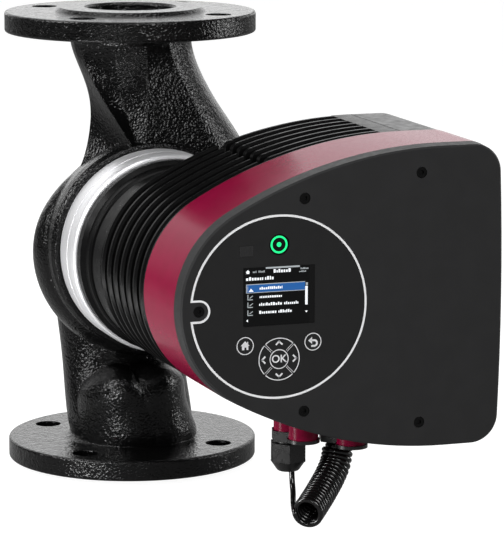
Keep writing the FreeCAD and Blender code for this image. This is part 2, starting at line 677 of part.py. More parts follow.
# ---------------------------------------------------------------- stator
def make_stator():
    can_r = ROTOR_R + ROTOR_SLEEVE + AIR_GAP + CAN_WALL
    core = ring(CORE_R, can_r + SEAT_GAP, CORE_BACK_Y, CORE_FRONT_Y)
    bars = []
    for k in range(SLOT_COUNT):
        bar = Part.makeBox(SLOT_OUT_R - SLOT_IN_R, CORE_BACK_Y - CORE_FRONT_Y + 2, SLOT_WIDTH,
                           V(SLOT_IN_R, CORE_FRONT_Y - 1, AXIS_Z - SLOT_WIDTH / 2))
        bar.rotate(V(0, 0, AXIS_Z), Y_DIR, 360.0 * k / SLOT_COUNT)
        bars.append(bar)
    keep("stator_core", core.cut(bars))
    ends = [ring(SLOT_OUT_R + 2, SLOT_IN_R - 2, CORE_BACK_Y + COIL_OVERHANG, CORE_BACK_Y),
            ring(SLOT_OUT_R + 2, SLOT_IN_R - 2, CORE_FRONT_Y, CORE_FRONT_Y - COIL_OVERHANG)]
    keep("stator_windings", ends[0].fuse([ends[1]] + bars))

    pot_in = POT_END_Y + POT_END_T
    flange_front = CLAMP_FRONT_Y + CLAMP_SHEET + CLAMP_GAP
    back = JOINT_Y - CAN_FLANGE_T
    body = turned([(CORE_R, back), (HEAD_FLANGE_R, back), (HEAD_FLANGE_R, flange_front + 2),
                   (HEAD_NECK_R, flange_front), (HEAD_NECK_R, CLAMP_FRONT_Y - CLAMP_GAP),
                   (BARREL_RING_R, CLAMP_FRONT_Y - CLAMP_GAP), (BARREL_RING_R, BARREL_RING_Y + 1.5),
                   (BARREL_RING_R - 1, BARREL_RING_Y), (BARREL_RIDGE_R, BARREL_RING_Y - 2.5),
                   (BARREL_RIDGE_R - 0.4, BARREL_RING_Y - 9), (BARREL_RIDGE_R - 1.4, BARREL_RING_Y - 11),
                   (BARREL_GROOVE_R, BARREL_RING_Y - 11.5), (BARREL_GROOVE_R, BARREL_RING_Y - 15),
                   (BARREL_R, BARREL_RING_Y - 16), (BARREL_R, SINK_BACK_Y), (POT_R, SINK_BACK_Y),
                   (POT_R, POT_END_Y), (0, POT_END_Y), (0, pot_in), (CORE_R, pot_in)])
    keep("stator_housing", body.cut([rod(SCREW_SHANK_R + HOLE_PLAY, pot_in + 1, POT_END_Y - 1, x, z)
                                     for x, z in sink_screw_places()]))


def sink_screw_places():
    reach = POT_R - SINK_SCREW_INSET
    return [(reach * math.cos(math.radians(45 + 90 * k)), reach * math.sin(math.radians(45 + 90 * k)))
            for k in range(4)]


# ---------------------------------------------------------------- clamp
def make_clamp():
    r, t = CLAMP_R, CLAMP_SHEET
    y0, y1 = CLAMP_BACK_Y, CLAMP_FRONT_Y
    g = CLAMP_GROOVE
    band = turned([(CLAMP_LIP_R, y0), (r - 1, y0), (r, y0 - 1), (r, CLAMP_GROOVE_Y + g / 2),
                   (r - g, CLAMP_GROOVE_Y), (r, CLAMP_GROOVE_Y - g / 2), (r, y1 + 5), (r - 0.8, y1 + 1.5),
                   (r - 2, y1), (CLAMP_LIP_R, y1), (CLAMP_LIP_R, y1 + t), (r - t, y1 + t + 2),
                   (r - t, y0 - t - 2), (CLAMP_LIP_R, y0 - t)])
    mid_y = (y0 + y1) / 2
    lugs = []
    for side in (-1, 1):
        low = LUG_SPLIT / 2 if side > 0 else -LUG_SPLIT / 2 - LUG_THICK
        lugs.append(box(r - 1, r - 1 + LUG_LENGTH, mid_y - LUG_WIDTH / 2, mid_y + LUG_WIDTH / 2,
                        AXIS_Z + low, AXIS_Z + low + LUG_THICK))
    split = box(CLAMP_LIP_R - 1, r + LUG_LENGTH + 1, y1 - 1, y0 + 1,
                AXIS_Z - LUG_SPLIT / 2, AXIS_Z + LUG_SPLIT / 2)
    screw_x = r + LUG_LENGTH / 2
    half = LUG_SPLIT / 2 + LUG_THICK
    hole = upright(CLAMP_SCREW_R + HOLE_PLAY, AXIS_Z - half - 1, AXIS_Z + half + 1, screw_x, mid_y)
    clamp = band.fuse(lugs).cut([split, hole])
    head_top = AXIS_Z + half + CLAMP_HEAD_T
    shank = upright(CLAMP_SCREW_R, AXIS_Z - half - 4, AXIS_Z + half, screw_x, mid_y)
    head = upright(CLAMP_SCREW_R * 1.7, AXIS_Z + half, head_top, screw_x, mid_y)
    socket = upright(CLAMP_SCREW_R * 0.85, head_top - CLAMP_HEAD_T / 2, head_top, screw_x, mid_y)
    screw = head.fuse(shank).cut(socket)
    for shape in (clamp, screw):
        shape.rotate(V(0, 0, AXIS_Z), Y_DIR, -LUG_DEG)
    keep("clamp_ring", clamp)
    keep("clamp_screw", screw)


# ---------------------------------------------------------------- finned heat sink
def upright_slab(x0, x1, y0, y1):
    """Block between two planes across X, higher than the box."""
    return box(x0, x1, y0, y1, AXIS_Z - BOX_TOP - BEYOND, AXIS_Z + BOX_TOP + BEYOND)


def sink_slice(y_back, y_front, extra=0.0):
    return drafted(y_front, SINK_INSET + extra, y_back, SINK_INSET + extra)


def fin_gap(side):
    """Drain slot that splits the fins above and below, with rounded fin ends beside it."""
    x0, x1 = FIN_GAP_X, FIN_GAP_X + FIN_GAP_WIDTH
    far = BOX_TOP + BEYOND
    shoulder = BOX_TOP - 14.5 - FIN_END_R
    low = BOX_TOP - 30
    slot = box(x0, x1, FRAME_BACK_Y, SINK_BACK_Y + 1, AXIS_Z + low, AXIS_Z + far)
    nick = box(x1 - 1, x1 + FIN_END_R, FRAME_BACK_Y, SINK_BACK_Y + 1, AXIS_Z + shoulder, AXIS_Z + far)
    nick = nick.cut(rod(FIN_END_R, SINK_BACK_Y + 2, FRAME_BACK_Y - 1, x1 + FIN_END_R, shoulder))
    cutter = slot.fuse(nick)
    return cutter if side > 0 else cutter.mirror(V(0, 0, AXIS_Z), Z_DIR)


def make_heat_sink():
    y0, y1 = SINK_BACK_Y, FRAME_BACK_Y
    collar = sink_slice(y1 + 2.6, y1)
    core = sink_slice(y0, y1, FIN_DEPTH).fuse(rod(POT_R + SINK_WALL, y0, y1))
    solid_end = sink_slice(y0, y1).common(upright_slab(FIN_END_X, SPLIT_X, y1, y0))
    fins = []
    for k in range(FIN_COUNT):
        front = FIN_FRONT_Y + FIN_PITCH * k
        back = min(front + FIN_T, y0)
        deep = SINK_INSET + FIN_NOSE
        fin = Part.makeLoft([outline(front, deep), outline(front + FIN_NOSE, SINK_INSET),
                             outline(back - FIN_NOSE, SINK_INSET), outline(back, deep)], True, True)
        fins.append(fin)
    gaps = [fin_gap(1), fin_gap(-1)]
    fins = [fin.cut(gaps) for fin in fins]
    body = core.fuse([collar, solid_end] + fins)
    body = body.cut(upright_slab(SPLIT_X, BOX_RIGHT + BEYOND, y1 - 1, y0 + 1))
    pocket = sink_slice(POCKET_Y, y1 - 1, POCKET_INSET)
    pocket = pocket.common(upright_slab(NOSE_X - BEYOND, SPLIT_X - POCKET_END_WALL, y1 - 2, POCKET_Y))
    posts = [rod(BOARD_POST_R, POCKET_Y + 1, y1 + POWER_BOARD_GAP + BOARD_T, x, z) for x, z in BOARD_POSTS]
    pocket = pocket.cut(posts)
    bore = rod(POT_R + SEAT_GAP, y0 + 1, POT_END_Y)
    hole_r = SCREW_SHANK_R + HOLE_PLAY
    holes = [rod(hole_r, POT_END_Y + 1, POCKET_Y - 1, x, z) for x, z in sink_screw_places()]
    holes += [rod(hole_r, y1 + SHORT_SCREW - FRAME_LUG_T + 2, y1 - 1, x, z) for x, z in FRAME_LUGS]
    keep("heat_sink", body.cut([pocket, bore] + holes))
    keep("heat_sink_screws", *[screw(POCKET_Y, SHORT_SCREW, x, z) for x, z in sink_screw_places()])


def screw(seat_y, length, x, z, head_r=SCREW_HEAD_R):
    """Cap screw along Y with its head in front of seat_y and its shank behind."""
    head = rod(head_r, seat_y, seat_y - SCREW_HEAD_T, x, z)
    socket = rod(head_r * 0.5, seat_y - SCREW_HEAD_T + 1.4, seat_y - SCREW_HEAD_T - 1, x, z)
    return head.fuse(rod(SCREW_SHANK_R, seat_y + length, seat_y, x, z)).cut(socket)


def make_end_housing():
    """Plastic end of the box behind the cable entries, closed at the back."""
    y0, y1 = SINK_BACK_Y, FRAME_BACK_Y
    side = upright_slab(SPLIT_X + SPLIT_GAP, BOX_RIGHT + BEYOND, y1, y0)
    outer = sink_slice(y0, y1).common(side)
    hollow = sink_slice(y0 - END_WALL, y1 - 1, END_WALL)
    hollow = hollow.common(upright_slab(SPLIT_X + SPLIT_GAP + END_WALL, BOX_RIGHT + BEYOND,
                                        y1 - 1, y0 - END_WALL))
    keep("end_housing", outer.cut(hollow))


# ---------------------------------------------------------------- coloured frame and its contents
def post_webs(y_back, y_front):
    """Flat webs that tie each screw post to the nearest wall."""
    webs = []
    reach = WEB_REACH
    half = WEB_T / 2
    for x, z in COVER_SCREWS:
        if z == 0:
            webs.append(box(x - reach, x, y_front, y_back, AXIS_Z - half, AXIS_Z + half))
        else:
            low, high = sorted((z, z + math.copysign(reach, z)))
            webs.append(box(x - half, x + half, y_front, y_back, AXIS_Z + low, AXIS_Z + high))
    return webs


def make_frame():
    y0, y1 = FRAME_BACK_Y, COVER_BACK_Y
    outer = drafted(y1, 0.0, y0, 0.0)
    hollow = drafted(y1 - 1, FRAME_WALL, y0 + 1, FRAME_WALL)
    shell = outer.cut(hollow)
    posts = [rod(POST_R, y0, y1, x, z) for x, z in COVER_SCREWS]
    lugs = [rod(FRAME_LUG_R, y0, y0 - FRAME_LUG_T, x, z) for x, z in FRAME_LUGS]
    entries, bores = [], []
    for x, bottom in zip(ENTRY_X, ENTRY_BOTTOM):
        for y in ENTRY_Y:
            entries.append(upright(ENTRY_R, bottom, bottom + 24, x, y))
            bores.append(upright(ENTRY_BORE_R, bottom - 1, bottom + 26, x, y))
    inside = [part.common(outer) for part in posts + lugs + post_webs(y0, y1)]
    shell = shell.fuse(inside + entries)
    hole_r = SCREW_SHANK_R + HOLE_PLAY
    holes = [rod(hole_r, y1 + LONG_SCREW - 4, y1 - 1, x, z) for x, z in COVER_SCREWS]
    holes += [rod(hole_r, y0 + 1, y0 - FRAME_LUG_T - 1, x, z) for x, z in FRAME_LUGS]
    keep("control_box_frame", shell.cut(bores + holes))
    keep("frame_screws", *[screw(y0 - FRAME_LUG_T, SHORT_SCREW, x, z) for x, z in FRAME_LUGS])


def capacitor_row(size, places, z, seat_y):
    radius, length = size
    return [rod(radius, seat_y, seat_y - length, x, z) for x in places]


def make_electronics():
    seat = FRAME_BACK_Y + POWER_BOARD_GAP
    blank = drafted(seat + BOARD_T, POWER_BOARD_INSET, seat, POWER_BOARD_INSET)
    keep("power_board", blank.common(upright_slab(NOSE_X - BEYOND, POWER_BOARD_END_X,
                                                  seat - 1, seat + BOARD_T + 1)))
    keep("capacitors", *capacitor_row(LARGE_CAN, LARGE_CAN_X, LARGE_CAN_Z, seat),
         *capacitor_row(SMALL_CAN, SMALL_CAN_X, SMALL_CAN_Z, seat))
    low = AXIS_Z + STRIP_Z
    high = low + STRIP_HEIGHT
    length = 2 * WAY_MARGIN + (WAY_COUNT - 1) * WAY_PITCH + WAY_WIDTH
    block = box(STRIP_X, STRIP_X + length, seat - STRIP_DEPTH, seat, low, high)
    ways = []
    for k in range(WAY_COUNT):
        left = STRIP_X + WAY_MARGIN + WAY_PITCH * k
        ways.append(box(left, left + WAY_WIDTH, seat - STRIP_DEPTH - 1, seat - STRIP_DEPTH / 2,
                        low + WAY_MARGIN, high - WAY_MARGIN))
    keep("terminal_block", block.cut(ways))


# ---------------------------------------------------------------- front cover and operator panel
def slot_cut(radius, y_back, y_front):
    """Round-ended slot that lets the panel's edge pass round the left cover screw."""
    x, z = COVER_SCREWS[2]
    reach = x - (PANEL_X - PANEL_R) + 12
    bar = box(x - reach, x, y_front, y_back, AXIS_Z + z - radius, AXIS_Z + z + radius)
    return bar.fuse(rod(radius, y_back, y_front, x, z))


def panel_blank(margin, y_back, y_front):
    disc = rod(PANEL_R + margin, y_back, y_front, PANEL_X, 0)
    return disc.cut(slot_cut(NOTCH_R - margin, y_back + 1, y_front - 1))


def arrow_sector(r_in, r_out, y_back, y_front, quarter):
    """Quarter of a ring: 0 right, 1 up, 2 left, 3 down, with a slit to each neighbour."""
    band = ring(r_out, r_in, y_back, y_front, PANEL_X, PAD_Z)
    wedge = Part.makeBox(r_out * 2, y_back - y_front + 2, r_out * 2)
    wedge.translate(V(PAD_SPLIT / 2, 0, PAD_SPLIT / 2))
    wedge.rotate(V(0, 0, 0), Y_DIR, 45 - 90 * quarter)
    wedge.translate(V(PANEL_X, y_front - 1, AXIS_Z + PAD_Z))
    return band.common(wedge)


def key_places():
    return {"home_key": (PANEL_X - KEY_SPREAD, KEY_Z), "back_key": (PANEL_X + KEY_SPREAD, KEY_Z)}


def panel_openings(y_back, y_front):
    """Openings shared by the cover plate and the panel on it."""
    cuts = [rod(KEY_R + KEY_GAP, y_back, y_front, x, z) for x, z in key_places().values()]
    cuts.append(rod(PAD_R + KEY_GAP, y_back, y_front, PANEL_X, PAD_Z))
    cuts.append(rod(LAMP_R + KEY_GAP, y_back, y_front, PANEL_X, LAMP_Z))
    windows = ((DISPLAY_X, DISPLAY_Z, DISPLAY_W, DISPLAY_H), (SENSOR_X, SENSOR_Z, SENSOR_W, SENSOR_H))
    for x, z, w, h in windows:
        half_w, half_h = w / 2 + SEAT_GAP, h / 2 + SEAT_GAP
        cuts.append(box(x - half_w, x + half_w, y_front, y_back, AXIS_Z + z - half_h, AXIS_Z + z + half_h))
    return cuts


def make_cover():
    back, face = COVER_BACK_Y, COVER_Y
    rim = face + COVER_EDGE
    outer = Part.makeLoft([outline(back, 0), outline(rim, COVER_DRAFT), outline(face, COVER_EDGE_INSET)],
                          True, True)
    inner = drafted(back + 1, COVER_WALL, face + COVER_PLATE, COVER_WALL + 0.4)
    shell = outer.cut(inner)
    posts = [rod(POST_R, back, face + 1, x, z).common(outer) for x, z in COVER_SCREWS]
    standoffs = [rod(3, BOARD_Y, face + 1, PANEL_X + x, z) for x, z in board_pins()]
    shell = shell.fuse(posts + standoffs)
    sink = face + SCREW_SINK + SCREW_HEAD_T
    cuts = [rod(SCREW_HEAD_R + 2 * HOLE_PLAY, sink, face - 1, x, z) for x, z in COVER_SCREWS]
    cuts += [rod(SCREW_SHANK_R + HOLE_PLAY, back + 1, face - 1, x, z) for x, z in COVER_SCREWS]
    cuts.append(panel_blank(TRIM_WIDTH / 2 + SEAT_GAP, face + PANEL_DEPTH, face - 1))
    cuts += panel_openings(face + COVER_PLATE + 1, face - 1)
    groove = drafted(back + SEAL_T, SEAL_INSET - SEAT_GAP, back - SEAL_T, SEAL_INSET - SEAT_GAP)
    groove_in = SEAL_INSET + SEAL_WIDTH + SEAT_GAP
    groove = groove.cut(drafted(back + 2, groove_in, back - 2, groove_in))
    cuts.append(groove)
    keep("front_cover", shell.cut(cuts))
    seal = drafted(back, SEAL_INSET, back - SEAL_T + SEAT_GAP, SEAL_INSET)
    keep("box_seal", seal.cut(drafted(back + 1, SEAL_INSET + SEAL_WIDTH, back - 2, SEAL_INSET + SEAL_WIDTH)))
    keep("cover_screws", *[screw(sink, LONG_SCREW, x, z) for x, z in COVER_SCREWS])


def board_pins():
    return [(-36, 30), (36, 30), (-36, -34), (36, -34)]


def make_panel():
    face = COVER_Y
    floor = face + PANEL_DEPTH
    inner = panel_blank(-TRIM_WIDTH / 2, floor, face - 0.1)
    keep("operator_panel", inner.cut(panel_openings(floor + 1, face - 1)))
    outer = panel_blank(TRIM_WIDTH / 2, floor, face - TRIM_PROUD)
    keep("panel_trim", outer.cut(panel_blank(-TRIM_WIDTH / 2, floor + 1, face - 1)))
    half_w, half_h = DISPLAY_W / 2, DISPLAY_H / 2
    keep("display_module", box(DISPLAY_X - half_w, DISPLAY_X + half_w, face - 0.1, BOARD_Y,
                               AXIS_Z + DISPLAY_Z - half_h, AXIS_Z + DISPLAY_Z + half_h))
    keep("control_board", rod(BOARD_R, BOARD_Y + BOARD_T, BOARD_Y, PANEL_X, 0))
    keep("indicator_lens", rod(LAMP_R, BOARD_Y, face + LAMP_SINK, PANEL_X, LAMP_Z))
    half_w, half_h = SENSOR_W / 2, SENSOR_H / 2
    keep("ir_window", box(SENSOR_X - half_w, SENSOR_X + half_w, face - 0.1, BOARD_Y,
                          AXIS_Z + SENSOR_Z - half_h, AXIS_Z + SENSOR_Z + half_h))


def make_keys():
    top = COVER_Y - KEY_PROUD
    plate_back = COVER_Y + COVER_PLATE
    lip_front = plate_back + 0.2
    lip_back = lip_front + KEY_LIP_T
    for name, (x, z) in key_places().items():
        keep(name, rod(KEY_R, lip_back, top, x, z).fuse(rod(KEY_R + KEY_LIP, lip_back, lip_front, x, z)))
    ring_in = OK_R + KEY_GAP
    for quarter, name in enumerate(("right_key", "up_key", "left_key", "down_key")):
        key = arrow_sector(ring_in, PAD_R, lip_back, top, quarter)
        keep(name, key.fuse(arrow_sector(PAD_R - 2, PAD_R + KEY_LIP, lip_back, lip_front, quarter)))
    ok_lip = lip_back + KEY_TRAVEL + 0.2
    ok = rod(OK_R, ok_lip + KEY_LIP_T, top, PANEL_X, PAD_Z)
    keep("ok_key", ok.fuse(rod(OK_R + KEY_LIP, ok_lip + KEY_LIP_T, ok_lip, PANEL_X, PAD_Z)))


# ---------------------------------------------------------------- cable entries, gland and lead
def make_entries():
    plugs = []
    front_y, back_y = ENTRY_Y
    for x, bottom in zip(ENTRY_X, ENTRY_BOTTOM):
        head = upright(PLUG_FLANGE_R, bottom - PLUG_FLANGE_T, bottom, x, front_y)
        plugs.append(head.fuse(upright(ENTRY_BORE_R - HOLE_PLAY, bottom, bottom + STUB_LENGTH, x, front_y)))
    keep("blanking_plugs", *plugs)
    stub_r = ENTRY_BORE_R - HOLE_PLAY
    x, bottom = ENTRY_X[0], ENTRY_BOTTOM[0]
    neck = bottom - GLAND_COLLAR_T
    nut_top = neck - GLAND_NECK_T
    nut_low = nut_top - NUT_T
    dome_low = nut_low - DOME_T
    seal_r = 6.0
    body = hexagon(GLAND_HEX, neck, bottom, x, back_y)
    body = body.fuse([upright(stub_r, bottom, bottom + STUB_LENGTH, x, back_y),
                      upright(GLAND_NECK_R, nut_low + 2, neck, x, back_y)])
    keep("gland_body", body.cut(upright(seal_r, nut_low, bottom + STUB_LENGTH + 1, x, back_y)))
    corner = NUT_HEX / math.sqrt(3)
    nut = hexagon(NUT_HEX, nut_low, nut_top, x, back_y)
    dome = Part.makeCone(corner * 0.55, corner * 0.92, DOME_T, V(x, back_y, dome_low), Z_DIR)
    dome = rounded(dome, 2.5, lambda e: e.BoundBox.ZMax < dome_low + 0.01 and e.Length > 10)
    socket = upright(GLAND_NECK_R + HOLE_PLAY, nut_low + 2 - HOLE_PLAY, nut_top + 1, x, back_y)
    nut = nut.fuse(dome).cut([socket, upright(seal_r - 1.2, dome_low - 1, nut_top, x, back_y)])
    keep("gland_nut", nut)
    cable = LEAD_ROUTE[0]
    seal = upright(seal_r - 1.35, dome_low, nut_low + 2, x, back_y)
    keep("gland_seal", seal.cut(upright(CABLE_R + 0.1, dome_low - 1, nut_low + 3, cable[0], cable[1])))
    x, bottom = ENTRY_X[1], ENTRY_BOTTOM[1]
    entry = hexagon(GLAND_HEX, bottom - 4, bottom, x, back_y)
    entry = entry.fuse([upright(stub_r, bottom, bottom + STUB_LENGTH, x, back_y),
                        upright(SLEEVE_R, bottom - SLEEVE_T, bottom, x, back_y)])
    keep("coil_gland", entry.cut(upright(CABLE_R + 0.3, bottom - SLEEVE_T - 1, bottom + STUB_LENGTH + 1,
                                         x, back_y)))


def make_lead():
    keep("lead_straight", tube_along(LEAD_ROUTE, CABLE_R, "lead_straight"))
    keep("lead_coil", tube_along(COIL_ROUTE, COIL_R, "lead_coil"))


# ---------------------------------------------------------------- build
for build in (make_housing, make_impeller, make_rotor, make_bearings, make_stator, make_clamp,
              make_heat_sink, make_end_housing, make_frame, make_electronics, make_cover, make_panel,
              make_keys, make_entries, make_lead):
    build()

os.makedirs("parts", exist_ok=True)
for node, shape in NODES.items():
    shape.exportStep(os.path.join("parts", node + ".step"))
print(len(NODES), "nodes")
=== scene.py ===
import json
import math
import random

import bpy
from mathutils import Matrix, Vector


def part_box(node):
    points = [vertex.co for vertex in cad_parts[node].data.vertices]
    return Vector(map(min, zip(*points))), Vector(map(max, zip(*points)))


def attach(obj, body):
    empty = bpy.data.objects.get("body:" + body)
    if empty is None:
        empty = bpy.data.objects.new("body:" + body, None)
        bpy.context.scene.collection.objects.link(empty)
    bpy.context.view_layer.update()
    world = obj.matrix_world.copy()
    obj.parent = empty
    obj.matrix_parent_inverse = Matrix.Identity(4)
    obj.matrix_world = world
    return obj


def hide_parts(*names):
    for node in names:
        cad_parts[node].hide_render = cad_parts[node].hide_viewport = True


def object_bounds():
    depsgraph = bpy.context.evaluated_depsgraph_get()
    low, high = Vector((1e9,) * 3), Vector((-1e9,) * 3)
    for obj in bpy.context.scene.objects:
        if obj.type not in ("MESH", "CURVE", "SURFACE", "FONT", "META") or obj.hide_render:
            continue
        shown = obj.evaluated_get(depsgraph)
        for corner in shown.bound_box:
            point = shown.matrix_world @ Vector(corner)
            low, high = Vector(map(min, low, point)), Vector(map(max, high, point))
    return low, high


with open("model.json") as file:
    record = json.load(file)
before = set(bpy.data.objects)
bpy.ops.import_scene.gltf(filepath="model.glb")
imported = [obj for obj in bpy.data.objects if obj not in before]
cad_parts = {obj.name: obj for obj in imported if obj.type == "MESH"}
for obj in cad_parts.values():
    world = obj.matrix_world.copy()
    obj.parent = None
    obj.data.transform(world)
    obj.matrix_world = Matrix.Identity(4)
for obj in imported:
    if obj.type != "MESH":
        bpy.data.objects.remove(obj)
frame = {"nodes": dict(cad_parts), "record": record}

# A black in-line circulator pump: cast housing, clamped motor, heat sink, crimson frame
# and a black cover with a round operator panel. Everything is in the frame's axes, and in
# metres, except for what is marked as millimetres.

CAD_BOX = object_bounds()
MM = 0.001
WHITE = (1.0, 1.0, 1.0, 1.0)


def grey(value):
    """A black or grey with a trace of blue in it."""
    return (value, value, value * 1.02, 1.0)


# ---- camera
CAMERA_AT = Vector((-0.68107, -2.23259, 0.55336))
CAMERA_YAW = math.radians(19.1765)      # from +Y towards +X
CAMERA_PITCH = math.radians(9.9411)     # downwards
CAMERA_ROLL = math.radians(0.1228)
LENS_MM = 212.99
SENSOR_MM = 36.0
CAMERA_REACH = 50.0

# ---- lead: the straight run out of the cable gland, and the close-wound coil after it
# Both routes are in millimetres.
LEAD_ROUTE = [(35.2, -256.0, 46.0), (35.2, -257.0, 38.0), (34.2, -262.0, 31.5),
              (31.0, -271.0, 28.0), (27.6, -281.0, 27.0), (25.2, -289.0, 23.5)]
COIL_ROUTE = [(33.4, -292.5, 24.0), (42.5, -281.0, 27.5), (52.5, -270.0, 33.5),
              (61.5, -261.5, 41.0), (68.0, -256.5, 50.5), (69.0, -255.0, 60.5)]
CORD_D = 3.9 * MM
COIL_MIDDLE_R = 9.0 * MM                # radius of the helix that the cord's middle follows
COIL_PITCH = 3.55 * MM
COIL_TURN_POINTS = 16
COIL_END = 0.4                          # how far open the last turn ends, where 1 is fully
CURVE_STEPS = 12                        # points of a curve for each of its control points
CURVE_ORDER = 3
CORD_ROUNDNESS = 4

# ---- operator panel: thickness of the prints, then all in millimetres
PRINT_T = 0.02 * MM
RING_STEPS = 64
RING_LINE = 0.6
OK_RING_R = 6.3
HOME_RING_R = 5.65
PAD_RING_R = 14.0
PAD_RING_LINE = 0.62
PAD_RING_GAP = 0.6                      # half the gap in the rim between two keys of the pad
PAD_EDGE_R = 7.3                        # where the line along a key's edge starts
PAD_EDGE_ASIDE = 0.55
PAD_EDGE_LINE = 0.3
CHEVRON_TIP = (12.4, 0.45)              # radius on the pad, and distance aside
CHEVRON_FOOT = (9.6, 2.3)
CHEVRON_LINE = 1.15
HOUSE_ROOF = ((-3.0, 0.2), (0.0, 3.2), (3.0, 0.2), (2.2, -0.1), (-2.2, -0.1))
HOUSE_BLOCKS = ((-2.2, -2.7, -0.5, 0.0), (0.9, -2.7, 2.2, 0.0),     # the walls beside the door
                (-0.6, -1.0, 1.0, 0.0), (1.4, 1.2, 2.1, 2.8))       # the wall over it, the chimney
RETURN_HEAD = ((-3.3, 0.9), (-0.6, 3.3), (-0.6, -1.5))
RETURN_LINE = 1.3
RETURN_STEM = ((-1.0, 0.9), (0.9, 0.9))
RETURN_BEND_R = 1.9
RETURN_BEND_AT = (0.9, -1.0)
RETURN_TAIL = ((0.4, -2.8), (-1.2, -2.9))
OK_HEIGHT = 5.0
OK_BOLDER = 0.12                        # added all round the letters
CAPITAL_SHARE = 0.7                     # height of a capital letter over the font's size
LAMP_DOT_R = 1.6
LAMP_RING_R = 5.2
LAMP_RING_LINE = 1.3
WINDOW_BARS_AT = (-2.6, 0.0, 2.6)
WINDOW_BAR = (0.5, 2.4)                 # half its width and half its height

# ---- display: a generic settings page, as shares of its width from the left and of its
# height from the top. An area is left, top, right, bottom; a word is its left end and its
# middle height, then its width and height.
DISPLAY_SEED = 7
PAGE_GROUND = (0.0, 0.0, 0.93, 1.0)
CHOSEN_ROW = (0.035, 0.285, 0.865, 0.425)
TAB_LINE = (0.31, 0.0, 0.79, 0.028)
FAINT_WORDS = ((0.13, 0.07, 0.05, 0.035), (0.21, 0.07, 0.09, 0.035),
               (0.8, 0.055, 0.12, 0.03), (0.78, 0.105, 0.1, 0.025))
ROW_FRAME = ((0.035, 0.278, 0.865, 0.29), (0.035, 0.42, 0.865, 0.43),
             (0.035, 0.278, 0.045, 0.43), (0.875, 0.3, 0.905, 0.345))
OTHER_ROWS = (0.5, 0.63, 0.766)
ICON_LEFT = (0.055, -0.045, 0.067, 0.05)        # the axes of a small graph, from the row's middle
ICON_FOOT = (0.055, 0.035, 0.13, 0.05)
ICON_SLOPE_AT = (0.085, 0.01)
ICON_SLOPE = ((0.0, -0.3), (2.2, 1.3))          # in millimetres, as the line's width is
ICON_SLOPE_LINE = 0.5
CHOSEN_ICON = (0.055, 0.31, 0.062, 0.405)
BRIGHT_WORDS = ((0.42, 0.072, 0.25, 0.06),                              # the tab
                (0.035, 0.185, 0.24, 0.06), (0.3, 0.185, 0.13, 0.06),   # the heading
                (0.225, 0.355, 0.32, 0.045), (0.225, 0.5, 0.32, 0.045),
                (0.22, 0.63, 0.32, 0.05), (0.57, 0.63, 0.2, 0.05),
                (0.22, 0.766, 0.24, 0.05), (0.49, 0.766, 0.2, 0.05))
SCROLL_BAR = (0.868, 0.36, 0.902, 0.68)
# Small signs: their place as shares, and their outline in millimetres from there
SCROLL_ARROW = ((0.885, 0.8), ((-1.0, 0.6), (0.0, -0.7), (1.0, 0.6)))
BACK_ARROW = ((0.05, 0.9), ((0.6, 1.0), (-0.7, 0.0), (0.6, -1.0)))
SMALL_ROOF = ((0.06, 0.07), ((-1.5, 0.0), (0.0, 1.4), (1.5, 0.0)))
SMALL_WALLS = ((0.06, 0.07), ((-1.0, -1.1), (1.0, -1.1), (1.0, 0.0), (-1.0, 0.0)))
CHOSEN_SIGN = ((0.1, 0.385), ((-1.4, -0.8), (0.2, 1.3), (2.0, -0.8)))
# Raised above the display, in thicknesses of a print
GROUND_LAYER = 0.4
ROW_LAYER = 0.7
LINE_LAYER = 1.0
WORD_LAYER = 1.2

# ---- letters of a word that says nothing, as shares of its height
LETTER_WIDTHS = (0.35, 0.75)
LETTER_TOPS = (0.7, 0.75, 1.0)
LETTER_GAP = 0.22
LETTER_REST = 0.2                       # no letter starts in so little room

# ---- studio
BACKDROP_SIDE = (0.3, 0.85, 0.42)       # direction of the room's white side from the pump
BACKDROP_EDGE = 0.55                    # cosine from that direction where the white side ends
ROOM_DARK = 0.05
ROOM_BRIGHT = 1.6
ROOM_FILL = 0.3                         # share of the room's light that reaches dull surfaces
FLOOR_SEEN = 0.94                       # added to the floor for the camera, where 1 is white
FLOOR_MIRRORED = 0.14
FLOOR_REACH = 6.0
FLOOR_GAP = 0.0005
FLOOR_COLOUR = (0.26, 0.26, 0.26, 1.0)
FLOOR_PATCHES = (0.25, 0.25, 0.25, 1.0)
FLOOR_PATCH = 0.3
FLOOR_ROUGHNESS = 0.8
FLOOR_SPECULAR = 0.1
LAMP_AIM = (0.03, -0.12, 0.17)
# Lamps: name, place, aim, width, height and radiance
LAMPS = (
    ("left", (-1.3, 0.05, 1.05), LAMP_AIM, 0.4, 0.9, 19.0),
    ("front_strip", (-1.25, -1.7, 0.35), LAMP_AIM, 0.06, 0.9, 30.0),
    ("low_card", (-0.36, -0.27, 0.04), (-0.03, -0.06, 0.06), 0.12, 0.07, 50.0),
    ("right_strip", (1.6, -0.3, 0.4), LAMP_AIM, 0.2, 1.2, 20.0),
    ("top", (-0.1, 0.3, 1.8), LAMP_AIM, 1.4, 1.0, 4.0),
    ("front_fill", (0.1, -2.9, 1.5), LAMP_AIM, 1.4, 1.0, 14.0),
)

# ---- finishes
EVEN = (1.0, 1.0, 1.0)                  # noise that isn't drawn out along an axis
TINT_FROM, TINT_TO = 0.4, 0.6           # the noise's values between which the colour changes
ROUGH_FROM, ROUGH_TO = 0.35, 0.65
ROUGH_DETAIL = 3.0
PLAIN_DETAIL = 2.0
